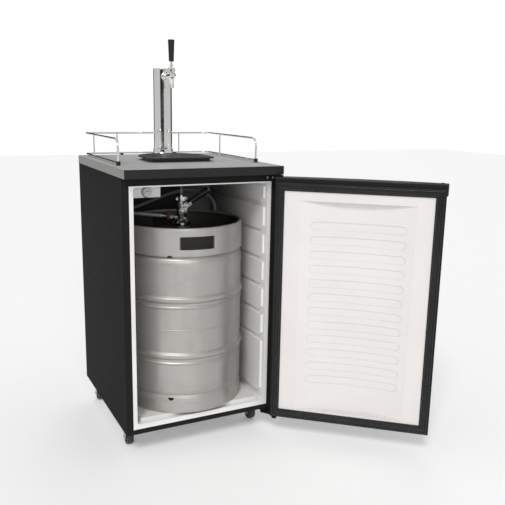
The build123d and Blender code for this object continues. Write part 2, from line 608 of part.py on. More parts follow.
def keg_board():
    """White board that the keg stands on, with its front corners rounded."""
    board = block((-BOARD_HALF, BOARD_HALF), (-226, 140), (CAVITY_FLOOR, KEG_BOTTOM))
    return fillet(board.edges().filter_by(Axis.Z).sort_by(Axis.Y)[:2], 5)


COUPLER_BORE = 9.0
GAS_RISE = radians(8.0)
GAS_ROOT = (KEG_X - 12.0, KEG_Y, NECK_TOP + 25.0)
LEVER_REST = radians(31.0)
PIVOT_X = KEG_X + 9.0
PIVOT_Z = NECK_TOP + 60.0


def along_gas(distance):
    """A point on the gas inlet's rising axis, this far out from the coupler."""
    x, y, z = GAS_ROOT
    return (x - distance * cos(GAS_RISE), y, z + distance * sin(GAS_RISE))


def coupler_body():
    """Cast body: locking ring on the neck, barrel, gas inlet, relief boss and two lever ears."""
    z = NECK_TOP
    barrel = turned([(COUPLER_BORE, z), (29, z), (30, z + 3), (30, z + 9), (20, z + 13), (16, z + 18),
                     (15, z + 50), (13, z + 56), (COUPLER_BORE, z + 56)], KEG_X, KEG_Y)
    inlet = rod(along_gas(0), along_gas(20), 8.0, 6.5)
    relief_boss = rod((KEG_X + 8, KEG_Y - 8, z + 20), (KEG_X + 8, KEG_Y - 21, z + 20), 6.5)
    body = barrel + inlet + relief_boss
    for side in (-1, 1):
        inside, outside = sorted((KEG_Y + side * 10.5, KEG_Y + side * 14.5))
        ear = block((PIVOT_X - 16, PIVOT_X + 6), (inside, outside), (z + 40, PIVOT_Z + 6))
        body += fillet(ear.edges().filter_by(Axis.Y).group_by(Axis.Z)[-1], 5.5)
        body += rod((PIVOT_X, inside, PIVOT_Z), (PIVOT_X, KEG_Y + side * 19.5, PIVOT_Z), 3.0)
    body -= rod((KEG_X, KEG_Y, z - 1), (KEG_X, KEG_Y, z + 70), COUPLER_BORE)
    return body - rod((KEG_X + 8, KEG_Y - 12, z + 20), (KEG_X + 8, KEG_Y - 22, z + 20), 3.05)


def coupler_probe():
    """Hollow plunger that the lever drives down to open the keg's valve."""
    return ring((KEG_X, KEG_Y, NECK_TOP - 2), (KEG_X, KEG_Y, NECK_TOP + 79), COUPLER_BORE - 0.05, 3.5)


def beer_nut():
    """Hexagon nut and hose tail on top of the probe."""
    z = NECK_TOP + 79
    nut = hexagon((KEG_X, KEG_Y, z), (KEG_X, KEG_Y, z + 13), 26)
    wings = block((KEG_X - 19, KEG_X + 19), (KEG_Y - 4, KEG_Y + 4), (z + 2, z + 11))
    tail = turned([(0, z + 13), (8, z + 13), (7, z + 18), (3, z + 19), (3, z + 24), (HOSE_TAIL_R, z + 25),
                   (3, z + 30), (HOSE_TAIL_R, z + 31), (3, z + 36), (0, z + 36)], KEG_X, KEG_Y)
    return nut + wings + tail - rod((KEG_X, KEG_Y, z - 1), (KEG_X, KEG_Y, z + 37), 2.0)


def lever_place():
    """Puts a lever drawn along +X from its pivot where the coupler's lever is at rest."""
    return Pos(PIVOT_X, KEG_Y, PIVOT_Z) * Rot(0, -degrees(LEVER_REST), 0)


def coupler_lever():
    """Forked lever: two cheeks on the pivot pins, joined ahead of the barrel by the arm and its end cap."""
    lever = block((16, 23), (-19, 19), (-5, 5))
    for side in (-1, 1):
        low, high = sorted((side * 15.2, side * 19.0))
        lever += block((-7, 20), (low, high), (-6, 6))
    lever += rod((20, 0, 0), (100, 0, 0), 4.0)
    cap = rod((98, 0, 0), (101.5, 0, 0), 12.0)
    lever += fillet(cap.edges().group_by(Axis.X)[-1], 1.5)
    pivot_bore = rod((0, -30, 0), (0, 30, 0), 3.05)
    return lever_place() * (lever - pivot_bore)


def coupler_grip():
    """Black tapered grip pushed on the lever's arm."""
    grip = rod((23, 0, 0), (98, 0, 0), 8.0, 12.0)
    return lever_place() * (grip - rod((22, 0, 0), (99, 0, 0), 4.0))


def relief_valve():
    """Pull pin with a ring, spring-loaded in its boss."""
    z = NECK_TOP + 20
    x = KEG_X + 8
    pin = rod((x, KEG_Y - 15, z), (x, KEG_Y - 28, z), 3.0)
    cap = rod((x, KEG_Y - 21.5, z), (x, KEG_Y - 24, z), 5.5)
    loop = Pos(x, KEG_Y - 33, z) * Rot(0, 90, 0) * Torus(6.5, 1.1)
    return pin + cap + loop


def gas_shutoff():
    """Ball valve on the gas inlet, with the hose barb on its far end."""
    body = rod(along_gas(20), along_gas(46), 7.5)
    body += hexagon(along_gas(20), along_gas(28), 17)
    body += rod(along_gas(46), along_gas(68), 4.0)
    x, y, z = along_gas(37)
    stem = rod((x, y, z), (x, y - 12, z), 3.0)
    bore = rod(along_gas(19), along_gas(69), 2.4)
    return body + stem - bore


def gas_shutoff_lever():
    """Small red lever; it stands across the pipe, so the gas is off."""
    x, y, z = along_gas(37)
    hub = rod((x, y - 8, z), (x, y - 13.5, z), 5.5)
    blade = block((x - 2.4, x + 2.4), (y - 13.5, y - 10.5), (z - 8, z + 20))
    return hub + blade - rod((x, y, z), (x, y - 12.6, z), 3.05)


# ---------------------------------------------------------------- hoses
def beer_line():
    """Clear hose from the hose tail, back under the roof and up the tower to the shank."""
    under_roof = CAVITY_CEILING - 10
    corners = [(KEG_X, KEG_Y, NECK_TOP + 99), (KEG_X, KEG_Y, under_roof), (TOWER_X, TOWER_Y, under_roof),
               (TOWER_X, TOWER_Y, SHANK_Z - 12)]
    return swept(FilletPolyline(*corners, radius=22), 5.2, HOSE_TAIL_R + 0.05)


def gas_line():
    """Hose from the shut-off valve, round the left wall, in an arch behind the keg to the back wall."""
    x, z = GAS_INLET
    out = Line(along_gas(54), along_gas(82))
    into = Line((x, CAVITY_BACK - 32, z), (x, CAVITY_BACK - 8, z))
    arch = Spline(out @ 1, (-152, -54, 733), (-190, 0, 730), (-172, 70, 724), (-115, 100, 728), (-55, 102, 746),
                  (40, 104, 775), (92, 106, 781), (153, 108, 765), (188, 112, 730), (184, 124, 670),
                  (144, 150, 612), into @ 0, tangents=(out % 1, into % 0))
    return swept(Wire([out, arch, into]), 5.5, 4.05)


def gas_clamp():
    """Crimped ring that holds the gas line on its barb."""
    clamp = ring(along_gas(57), along_gas(66), 6.8, 5.5)
    x, y, z = along_gas(61.5)
    return clamp + block((x - 2.5, x + 2.5), (y - 9.5, y - 6), (z - 2, z + 2))


def gas_inlet():
    """Bulkhead fitting through the back wall, with a barb outside for the user's gas hose."""
    x, z = GAS_INLET
    tube = rod((x, CAVITY_BACK - 18, z), (x, CABINET_BACK + 8, z), 4.0)
    tube += hexagon((x, CABINET_BACK, z), (x, CABINET_BACK + 8, z), 17)
    tube += rod((x, CABINET_BACK + 8, z), (x, CABINET_BACK + 32, z), 4.0)
    return tube - rod((x, CAVITY_BACK - 19, z), (x, CABINET_BACK + 33, z), 2.4)


# ---------------------------------------------------------------- door, drawn closed
def door_outline(inset):
    """Plan of the door: flat inner side, square edges and a bowed front."""
    right, left = DOOR_HINGE_SIDE - inset, DOOR_FREE_SIDE + inset
    front = DOOR_EDGE_FRONT + inset
    middle = ((right + left) / 2, front - DOOR_BOW)
    bow = ThreePointArc((left, front), middle, (right, front))
    back = Polyline((right, front), (right, DOOR_INNER), (left, DOOR_INNER), (left, front))
    return make_face(Wire([bow, *back.edges()]))


def opened(part):
    """Swing a part of the closed door to where the door stands."""
    return Pos(HINGE_X, HINGE_Y, 0) * Rot(0, 0, DOOR_REST_ANGLE) * Pos(-HINGE_X, -HINGE_Y, 0) * part


PANEL_X = (DOOR_FREE_SIDE + 8, DOOR_HINGE_SIDE - 12)
PANEL_Z = (DOOR_BOTTOM + 11, DOOR_TOP - 15)
SCOOP_R = (SCOOP_HALF ** 2 + SCOOP_DEPTH ** 2) / (2 * SCOOP_DEPTH)
PANEL_WALL = 4.0


def scoop(grow, z):
    """Shallow round hollow for the keg's belly, standing on end."""
    axis_y = DOOR_INNER - SCOOP_DEPTH + SCOOP_R
    full = rod((KEG_X, axis_y, z[0]), (KEG_X, axis_y, z[1]), SCOOP_R + grow)
    keep = block((-SCOOP_HALF - 20, SCOOP_HALF + 20), (DOOR_INNER - 60, DOOR_INNER + 20), (z[0] - 1, z[1] + 1))
    return full & keep


def door_inner_panel():
    """White moulded panel with the keg hollow and a column of shallow pockets in it."""
    z = (PANEL_Z[0] + 26, SCOOP_TOP)
    sheet = panel(PANEL_X, PANEL_Z, (DOOR_INNER - PANEL_WALL, DOOR_INNER), 6)
    dish = scoop(PANEL_WALL, (z[0] - PANEL_WALL, z[1] + PANEL_WALL))
    dish = dish & block((-300, 300), (DOOR_INNER - 60, DOOR_INNER - 0.5), (0, 1000))
    sheet = sheet + dish - scoop(0, z)
    pocket_form = scoop(2.0, z)
    for i in range(PILL_COUNT):
        centre = PILL_TOP_Z - PILL_HEIGHT / 2 - PILL_PITCH * i
        mouth = Plane(origin=(KEG_X - 3, DOOR_INNER, centre), x_dir=(1, 0, 0), z_dir=(0, -1, 0))
        sheet -= extrude(mouth * SlotOverall(PILL_HALF * 2, PILL_HEIGHT), 40) & pocket_form
    return sheet


def door_foam():
    """Foam core between the skin, the end caps and the inner panel."""
    core = extrude(Pos(0, 0, DOOR_BOTTOM + DOOR_CAP) * door_outline(SHEET), DOOR_TOP - DOOR_BOTTOM - 2 * DOOR_CAP)
    core &= block((-300, 300), (-400, DOOR_INNER - SHEET), (0, 1000))
    z = (PANEL_Z[0] + 26 - PANEL_WALL, SCOOP_TOP + PANEL_WALL)
    core -= panel(PANEL_X, PANEL_Z, (DOOR_INNER - PANEL_WALL, DOOR_INNER), 6)
    return core - scoop(PANEL_WALL, z) - hinge_sockets(6.2)


def hinge_sockets(radius):
    """Upright holes in both ends of the door, on the hinge axis."""
    top = rod((HINGE_X, HINGE_Y, DOOR_TOP - 22), (HINGE_X, HINGE_Y, DOOR_TOP + 1), radius)
    return top + rod((HINGE_X, HINGE_Y, DOOR_BOTTOM - 1), (HINGE_X, HINGE_Y, DOOR_BOTTOM + 22), radius)


def door_skin():
    """Bowed steel front, folded round both edges and a little way over the inner side."""
    height = DOOR_TOP - DOOR_BOTTOM - 2 * DOOR_CAP
    outer = extrude(Pos(0, 0, DOOR_BOTTOM + DOOR_CAP) * door_outline(0), height)
    inner = extrude(Pos(0, 0, DOOR_BOTTOM + DOOR_CAP - 1) * door_outline(SHEET), height + 2)
    inner &= block((-300, 300), (-400, DOOR_INNER - SHEET), (0, 1000))
    return outer - inner - panel(PANEL_X, PANEL_Z, (DOOR_INNER - 10, DOOR_INNER + 1), 6)


def door_end_caps():
    """Plastic strips that close the top and bottom of the door; the upper one has a grip lug."""
    top = extrude(Pos(0, 0, DOOR_TOP - DOOR_CAP) * door_outline(0), DOOR_CAP)
    lug = block((DOOR_FREE_SIDE - 4, DOOR_FREE_SIDE), (DOOR_EDGE_FRONT - 1, DOOR_INNER), (DOOR_TOP - 35, DOOR_TOP))
    lug = chamfer(lug.edges().filter_by(Axis.Y).group_by(Axis.Z)[0].sort_by(Axis.X)[0], 3.5)
    plug = rod((DOOR_FREE_SIDE + 13, DOOR_EDGE_FRONT + 14, DOOR_TOP), (DOOR_FREE_SIDE + 13, DOOR_EDGE_FRONT + 14,
               DOOR_TOP + 2), 6)
    bottom = extrude(Pos(0, 0, DOOR_BOTTOM) * door_outline(0), DOOR_CAP)
    return [top + lug + plug - hinge_sockets(6.2), bottom - hinge_sockets(6.2)]


def door_bushings():
    """Flanged plastic bushes that run on the hinge pins."""
    bushes = []
    for mouth, inward in ((DOOR_TOP, -1), (DOOR_BOTTOM, 1)):
        end = mouth + inward * 20
        bush = rod((HINGE_X, HINGE_Y, mouth), (HINGE_X, HINGE_Y, end), 6.15)
        bushes.append(bush - rod((HINGE_X, HINGE_Y, mouth - inward), (HINGE_X, HINGE_Y, mouth + inward * 17), 4.05))
    return bushes


def gasket_ring(inset, width, y):
    x = (DOOR_FREE_SIDE + 5 + inset, DOOR_HINGE_SIDE - 5 - inset)
    z = (DOOR_BOTTOM + 5 + inset, DOOR_TOP - 15 - inset)
    outer = panel(x, z, y, 4)
    hole = panel((x[0] + width, x[1] - width), (z[0] + width, z[1] - width), (y[0] - 1, y[1] + 1), 3)
    return outer - hole


def door_gasket():
    """Magnetic seal: a broad base on the door and a raised bead that meets the front frame."""
    base = gasket_ring(0, GASKET_WIDTH, (DOOR_INNER, DOOR_INNER + 3))
    bead = gasket_ring(7, GASKET_WIDTH - 10, (DOOR_INNER + 3, GASKET_FACE))
    return base + bead


# ---------------------------------------------------------------- hinges
BRACKET_THICK = 3.0
TOP_PLATE_Z = CABINET_TOP - 4.5


def hinge_plate(z, side_room):
    """Tapering tongue from the cabinet's front to the hinge axis."""
    root = CABINET_FRONT - 3
    outline = Polyline((HINGE_X - 34, root), (HINGE_X + side_room, root), (HINGE_X + side_room, HINGE_Y),
                       (HINGE_X - 9, HINGE_Y - 4), close=True)
    tongue = extrude(Pos(0, 0, z) * make_face(outline), BRACKET_THICK)
    return tongue + rod((HINGE_X, HINGE_Y, z), (HINGE_X, HINGE_Y, z + BRACKET_THICK), 9.5)


def upper_hinge_bracket():
    """Bracket on the front frame with a pin that points down into the door."""
    plate = hinge_plate(TOP_PLATE_Z, 9)
    tab = block((HINGE_X - 34, HINGE_X + 9), (CABINET_FRONT - 3, CABINET_FRONT), (849, TOP_PLATE_Z + BRACKET_THICK))
    pin = rod((HINGE_X, HINGE_Y, TOP_PLATE_Z), (HINGE_X, HINGE_Y, DOOR_TOP - 15), 4.0)
    bracket = plate + tab + pin
    for x, y, z in upper_screws():
        bracket -= rod((x, y - 1, z), (x, y + 6, z), 2.6)
    return bracket


def upper_screws():
    """Seats of the two screws in the upper bracket."""
    return [(x, CABINET_FRONT - 3, 855.5) for x in (HINGE_X - 27, HINGE_X - 9)]


def lower_hinge_bracket():
    """Cranked bracket under the cabinet with a shouldered pin up into the door."""
    plate_z = DOOR_BOTTOM - 7.0
    plate = hinge_plate(plate_z, 8)
    riser = block((HINGE_X - 34, HINGE_X + 8), (CABINET_FRONT - 3, CABINET_FRONT + 0.5), (plate_z, CABINET_BOTTOM))
    foot = block((HINGE_X - 34, HINGE_X + 8), (CABINET_FRONT, CABINET_FRONT + 34),
                 (CABINET_BOTTOM - 3, CABINET_BOTTOM))
    pin = rod((HINGE_X, HINGE_Y, plate_z), (HINGE_X, HINGE_Y, DOOR_BOTTOM + 15), 4.0)
    shoulder = rod((HINGE_X, HINGE_Y, plate_z), (HINGE_X, HINGE_Y, DOOR_BOTTOM), 6.5)
    head = rod((HINGE_X, HINGE_Y, plate_z - 12), (HINGE_X, HINGE_Y, plate_z), 9.0)
    head = fillet(head.edges().group_by(Axis.Z)[0], 3)
    bracket = plate + riser + foot + pin + shoulder + head
    for x, y, z in lower_screws():
        bracket -= rod((x, y, z - 1), (x, y, z + 4), 2.6)
    return bracket


def lower_screws():
    """Seats of the two screws in the lower bracket, driven from below."""
    return [(x, CABINET_FRONT + 22, CABINET_BOTTOM - 3) for x in (HINGE_X - 26, HINGE_X - 4)]


def cabinet_screws():
    """All the pan-head screws: four in the tower's flange and two in each hinge bracket."""
    screws = [pan_screw((x, y, WORKTOP_TOP + FLANGE_THICK), (0, 0, 1), length=FLANGE_THICK) for x, y in screw_places()]
    screws += [pan_screw(seat, (0, -1, 0), length=3.0) for seat in upper_screws()]
    screws += [pan_screw(seat, (0, 0, -1), length=3.0) for seat in lower_screws()]
    return screws


# ---------------------------------------------------------------- casters
CASTERS = {
    "front_left": (-CASTER_X, CASTER_FRONT_Y),
    "front_right": (CASTER_X, CASTER_FRONT_Y),
    "rear_left": (-CASTER_X, CASTER_REAR_Y),
    "rear_right": (CASTER_X, CASTER_REAR_Y),
}
SWIVEL_TOP = CABINET_BOTTOM - 5.0


def caster_plate(x, y):
    """Square mounting plate with the swivel's king pin under it."""
    plate = block((x - 23, x + 23), (y - 23, y + 23), (CABINET_BOTTOM - 2.5, CABINET_BOTTOM))
    plate = fillet(plate.edges().filter_by(Axis.Z), 4)
    plate += rod((x, y, SWIVEL_TOP + 0.3), (x, y, CABINET_BOTTOM - 2), 18.0)
    plate += rod((x, y, SWIVEL_TOP - 13), (x, y, CABINET_BOTTOM - 2), 4.0)
    return plate + rod((x, y, SWIVEL_TOP - 15), (x, y, SWIVEL_TOP - 12.8), 7.0)


def caster_fork(x, y):
    """Pressed swivel fork with the axle riveted through its two legs."""
    wheel_y = y + CASTER_TRAIL
    crown = rod((x, y, SWIVEL_TOP - 12.6), (x, y, SWIVEL_TOP), 17.5) - rod((x, y, SWIVEL_TOP - 20),
                                                                          (x, y, SWIVEL_TOP + 1), 4.05)
    fork = crown
    for side in (-1, 1):
        near, far = sorted((x + side * 12.2, x + side * 14.2))
        outline = Polyline((y - 12, SWIVEL_TOP - 1), (y + 12, SWIVEL_TOP - 1), (wheel_y + 9, WHEEL_R + 4),
                           (wheel_y + 7, WHEEL_R - 8), (wheel_y - 7, WHEEL_R - 8), (wheel_y - 12, WHEEL_R + 8),
                           close=True)
        leg_plane = Plane(origin=(near, 0, 0), x_dir=(0, 1, 0), z_dir=(1, 0, 0))
        fork += extrude(leg_plane * make_face(outline), far - near)
    axle = rod((x - 17, wheel_y, WHEEL_R), (x + 17, wheel_y, WHEEL_R), 3.0)
    heads = rod((x - 17, wheel_y, WHEEL_R), (x - 14, wheel_y, WHEEL_R), 5.0)
    heads += rod((x + 14, wheel_y, WHEEL_R), (x + 17, wheel_y, WHEEL_R), 5.0)
    return fork + axle + heads


def caster_wheel(x, y):
    """Moulded wheel with a crowned tread and dished hub faces."""
    wheel_y = y + CASTER_TRAIL
    half, rim = 10.0, WHEEL_R - 1.5
    profile = Polyline((3.05, -half + 0.0), (9, -half), (10, -half + 2.5), (rim - 6, -half + 2.5), (rim - 5, -half),
                       (rim, -half), (WHEEL_R, -half + 3), (WHEEL_R, half - 3), (rim, half), (rim - 5, half),
                       (rim - 6, half - 2.5), (10, half - 2.5), (9, half), (3.05, half), close=True)
    wheel = revolve(Plane.XY * make_face(profile), Axis.Y)
    return Pos(x, wheel_y, WHEEL_R) * Rot(0, 0, 90) * wheel


# ---------------------------------------------------------------- cooling unit
COMPRESSOR_X = -60.0
COMPRESSOR_Y = 232.0
COIL_Y = CABINET_BACK + 16.0


def compressor():
    """Hermetic can with its foot plate, terminal cover and three pipe stubs."""
    base = CABINET_BOTTOM + 1.5
    can_plan = Pos(COMPRESSOR_X, COMPRESSOR_Y, base + 16) * RectangleRounded(150, 88, 43.9)
    can = extrude(can_plan, 120)
    can = fillet(can.edges().group_by(Axis.Z)[-1], 26)
    can = fillet(can.edges().group_by(Axis.Z)[0], 12)
    feet = block((COMPRESSOR_X - 90, COMPRESSOR_X + 90), (COMPRESSOR_Y - 40, COMPRESSOR_Y + 40), (base + 12, base + 15))
    collar = extrude(Pos(COMPRESSOR_X, COMPRESSOR_Y, base + 14) * RectangleRounded(110, 60, 20), 8)
    cover = block((COMPRESSOR_X + 70, COMPRESSOR_X + 96), (COMPRESSOR_Y - 22, COMPRESSOR_Y + 22), (base + 42, base + 98))
    return can + feet + collar + cover


def compressor_grommets():
    """Rubber feet between the compressor's plate and the cabinet's floor."""
    base = CABINET_BOTTOM + 1.5
    feet = []
    for sx in (-1, 1):
        for sy in (-1, 1):
            x, y = COMPRESSOR_X + sx * 80, COMPRESSOR_Y + sy * 30
            feet.append(rod((x, y, base), (x, y, base + 12), 9.0, 7.0))
    return feet


def condenser_coil():
    """Serpentine tube with welded wires, held off the back on four stand-offs."""
    left, right, low, high, rows = -190.0, 190.0, 340.0, 820.0, 9
    step = (high - low) / (rows - 1)
    corners = []
    for i in range(rows):
        z = high - i * step
        ends = (left, right) if i % 2 == 0 else (right, left)
        corners += [(ends[0], COIL_Y, z), (ends[1], COIL_Y, z)]
    coil = swept(FilletPolyline(*corners, radius=20), 2.6)
    for i in range(20):
        x = left + 25 + i * (right - left - 50) / 19
        coil += rod((x, COIL_Y + 3.2, low - 8), (x, COIL_Y + 3.2, high + 8), 0.9)
    for x in (left + 25, right - 25):
        for z in (low + 30, high - 30):
            coil += block((x - 4, x + 4), (CABINET_BACK, COIL_Y + 3.2), (z - 6, z + 6))
            coil += block((x - 4, x + 4), (COIL_Y + 1, COIL_Y + 4), (z - 36, z + 36))
    return coil


def power_cord():
    """Cord from the compressor bay, down the back in a hanging loop, to a moulded plug."""
    hang_y = CABINET_BACK + 18
    corners = [(150, CABINET_BACK - 2, 250), (150, hang_y, 250), (150, hang_y, 130), (216, hang_y, 130),
               (216, hang_y, 250)]
    cord = swept(FilletPolyline(*corners, radius=17), 3.6)
    x, y, z = 216, hang_y, 250
    plug = rod((x, y, z - 2), (x, y, z + 18), 6.0, 9.0)
    plug += rod((x, y, z + 18), (x, y, z + 34), 14.0)
    plug += block((x - 8, x - 6.4), (y - 3, y + 3), (z + 34, z + 52))
    plug += block((x + 6.4, x + 8), (y - 3, y + 3), (z + 34, z + 52))
    plug += rod((x, y + 8, z + 34), (x, y + 8, z + 54), 2.4)
    clamp = block((138, 162), (CABINET_BACK - 16, CABINET_BACK - 1.2), (240, 258))
    return cord + plug + clamp


# ---------------------------------------------------------------- write every node
def main():
    singles = [
        cabinet_shell, rear_panel, base_pan, inner_liner, foam_insulation, evaporator_plate, thermostat_housing,
        thermostat_dial, worktop, worktop_trim, guard_rail, tower_flange, tower_column, tower_cap, faucet_shank,
        coupling_nut, faucet_body, tap_lever, tap_handle, faucet_plunger, drip_tray, drip_grille, keg_shell,
        keg_valve, keg_board, coupler_body, coupler_probe, beer_nut, coupler_lever, coupler_grip, relief_valve,
        gas_shutoff, gas_shutoff_lever, beer_line, gas_line, gas_clamp, gas_inlet, upper_hinge_bracket, lower_hinge_bracket,
        compressor, condenser_coil, power_cord,
    ]
    groups = [rail_feet, cabinet_screws, compressor_grommets]
    doors = [door_skin, door_inner_panel, door_foam, door_gasket]
    door_groups = [door_end_caps, door_bushings]
    for make in singles:
        save(make.__name__, make())
    for make in groups:
        save(make.__name__, *make())
    for make in doors:
        save(make.__name__, opened(make()))
    for make in door_groups:
        save(make.__name__, *[opened(solid) for solid in make()])
    save("caster_plates", *[caster_plate(x, y) for x, y in CASTERS.values()])
    for name, (x, y) in CASTERS.items():
        save(f"caster_fork_{name}", caster_fork(x, y))
        save(f"caster_wheel_{name}", caster_wheel(x, y))


main()
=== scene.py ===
"""Looks of the kegerator: procedural materials, copies of the CAD hoses, door seal, studio and camera."""

import json
from math import cos, pi, radians, sin

import bpy
from mathutils import Matrix, Vector


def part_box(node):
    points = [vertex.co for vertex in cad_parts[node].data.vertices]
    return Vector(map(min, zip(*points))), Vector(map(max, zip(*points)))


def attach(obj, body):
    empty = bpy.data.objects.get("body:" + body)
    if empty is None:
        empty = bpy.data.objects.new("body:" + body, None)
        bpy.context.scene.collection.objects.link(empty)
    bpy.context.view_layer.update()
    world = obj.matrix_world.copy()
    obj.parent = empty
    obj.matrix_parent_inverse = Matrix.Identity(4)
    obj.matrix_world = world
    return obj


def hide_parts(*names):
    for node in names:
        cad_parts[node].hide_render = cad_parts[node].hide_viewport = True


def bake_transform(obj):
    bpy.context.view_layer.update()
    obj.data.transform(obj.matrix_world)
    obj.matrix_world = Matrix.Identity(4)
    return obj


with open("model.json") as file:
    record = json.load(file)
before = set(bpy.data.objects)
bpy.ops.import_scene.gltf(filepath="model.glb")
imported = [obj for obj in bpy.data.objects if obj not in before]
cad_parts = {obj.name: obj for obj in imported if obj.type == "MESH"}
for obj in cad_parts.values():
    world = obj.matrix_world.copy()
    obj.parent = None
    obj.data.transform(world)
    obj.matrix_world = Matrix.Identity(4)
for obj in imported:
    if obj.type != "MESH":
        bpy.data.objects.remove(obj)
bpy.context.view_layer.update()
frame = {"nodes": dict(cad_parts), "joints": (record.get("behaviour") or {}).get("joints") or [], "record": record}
nodes = frame["nodes"]


# ---------------------------------------------------------------- shader helpers
class Nodes:
    """Short ways to add and join nodes in one node tree."""

    def __init__(self, tree):
        self.tree = tree

    def add(self, kind, **settings):
        node = self.tree.nodes.new(kind)
        for key, value in settings.items():
            setattr(node, key, value)
        return node

    def link(self, source, target):
        self.tree.links.new(source, target)

    def remap(self, value, old, new):
        """Moves a value smoothly from the old range to the new one, and clamps it there."""
        node = self.add("ShaderNodeMapRange", interpolation_type="SMOOTHSTEP")
        self.link(value, node.inputs["Value"])
        for key, number in zip(("From Min", "From Max", "To Min", "To Max"), (*old, *new)):
            node.inputs[key].default_value = number
        return node.outputs["Result"]

    def math(self, operation, first, second=0):
        """One step of arithmetic; each value may be a number or a socket."""
        node = self.add("ShaderNodeMath", operation=operation)
        for value, socket in zip((first, second), node.inputs):
            if isinstance(value, (int, float)):
                socket.default_value = value
            else:
                self.link(value, socket)
        return node.outputs["Value"]

    def blend(self, factor, low, high):
        """A colour between two colours; either may be a socket."""
        node = self.add("ShaderNodeMix", data_type="RGBA")
        self.link(factor, node.inputs["Factor"])
        for value, socket in ((low, node.inputs["A"]), (high, node.inputs["B"])):
            if isinstance(value, tuple):
                socket.default_value = (*value, 1.0)
            else:
                self.link(value, socket)
        return node.outputs["Result"]


class Shader(Nodes):
    """One procedural material: a Principled surface with helpers that feed its inputs."""

    def __init__(self, name):
        self.material = bpy.data.materials.new(name)
        self.material.use_nodes = True
        super().__init__(self.material.node_tree)
        self.tree.nodes.clear()
        self.output = self.add("ShaderNodeOutputMaterial")
        self.surface = self.add("ShaderNodeBsdfPrincipled")
        self.link(self.surface.outputs["BSDF"], self.output.inputs["Surface"])
        self.place = self.add("ShaderNodeTexCoord").outputs["Object"]
        self.normal = None

    def set(self, **inputs):
        """Plain values for the surface, such as metallic=1; underscores stand for spaces."""
        for key, value in inputs.items():
            self.surface.inputs[key.replace("_", " ").title().replace("Ior", "IOR")].default_value = value

    def stretched(self, scale):
        """Object coordinates multiplied by a scale for each axis."""
        mapping = self.add("ShaderNodeMapping")
        mapping.inputs["Scale"].default_value = scale
        self.link(self.place, mapping.inputs["Vector"])
        return mapping.outputs["Vector"]

    def noise(self, scale, detail, stretch=(1, 1, 1), rough=0.55):
        texture = self.add("ShaderNodeTexNoise")
        texture.inputs["Scale"].default_value = scale
        texture.inputs["Detail"].default_value = detail
        texture.inputs["Roughness"].default_value = rough
        self.link(self.stretched(stretch), texture.inputs["Vector"])
        return texture.outputs["Fac"]

    def axis(self, name):
        """One object coordinate of the point."""
        split = self.add("ShaderNodeSeparateXYZ")
        self.link(self.place, split.inputs["Vector"])
        return split.outputs[name]

    def facing(self, name):
        """One coordinate of the surface's direction."""
        split = self.add("ShaderNodeSeparateXYZ")
        self.link(self.add("ShaderNodeNewGeometry").outputs["Normal"], split.inputs["Vector"])
        return split.outputs[name]

    def colour(self, value):
        self.link(value, self.surface.inputs["Base Color"])

    def roughness(self, value):
        self.link(value, self.surface.inputs["Roughness"])

    def bump(self, height, distance, strength=1.0):
        """Stacks one more layer of bump on the normal."""
        node = self.add("ShaderNodeBump")
        node.inputs["Distance"].default_value = distance
        node.inputs["Strength"].default_value = strength
        self.link(height, node.inputs["Height"])
        if self.normal is not None:
            self.link(self.normal, node.inputs["Normal"])
        self.normal = node.outputs["Normal"]
        self.link(self.normal, self.surface.inputs["Normal"])

    def round_edges(self, radius):
        """Softens the look of sharp edges.  Comes before any bump."""
        node = self.add("ShaderNodeBevel", samples=4)
        node.inputs["Radius"].default_value = radius
        self.normal = node.outputs["Normal"]
        self.link(self.normal, self.surface.inputs["Normal"])


def painted(name, colour, lighter, front=None, peel=0.00006):
    """Sprayed paint with orange peel, faint dust and an even gloss; faces to the front may take another colour,
    which is painted shade.
    """
    s = Shader(name)
    s.set(ior=1.1, specular_ior_level=0.1)
    s.round_edges(0.0009)
    dust = s.remap(s.noise(40, 6), (0.35, 0.75), (0, 1))
    paint = s.blend(dust, colour, lighter)
    if front:
        # Painted shade: faces that look to the front take the front colour.
        paint = s.blend(s.remap(s.facing("Y"), (-0.5, -0.9), (0, 1)), paint, front)
    s.colour(paint)
    s.roughness(s.remap(s.noise(60, 5), (0.3, 0.7), (0.46, 0.5)))
    s.bump(s.noise(700, 2), peel)
    return s.material


def metal(name, colour, rough, darker, grain=120, grain_depth=0.00002):
    """Metal with a fine grain, smudges that are darker than the rest, and a bevelled edge."""
    s = Shader(name)
    s.set(metallic=1.0)
    s.round_edges(0.0005)
    fine = s.noise(grain, 3)
    smudge = s.remap(s.noise(14, 5), (0.35, 0.7), (0, 1))
    dull = tuple(c * darker for c in colour)
    s.colour(s.blend(s.math("MULTIPLY", smudge, fine), colour, dull))
    gloss = s.remap(fine, (0.3, 0.7), (rough * 0.8, rough * 1.25))
    s.roughness(s.math("ADD", gloss, s.remap(smudge, (0, 1), (0, 0.05))))
    s.bump(fine, grain_depth)
    return s.material


def plastic(name, colour, lighter, rough, grain=900, grain_depth=0.00004, edge=0.0007):
    """Moulded plastic with a fine grain, faint mottling and uneven gloss."""
    s = Shader(name)
    s.set(specular_ior_level=0.35)
    s.round_edges(edge)
    s.colour(s.blend(s.remap(s.noise(11, 5), (0.3, 0.75), (0, 1)), colour, lighter))
    s.roughness(s.remap(s.noise(30, 5), (0.3, 0.7), (rough * 0.85, rough * 1.15)))
    s.bump(s.noise(grain, 2), grain_depth)
    return s.material


LINER_SHADE_STARTS, LINER_SHADE_ENDS = -0.235, 0.16  # along Y


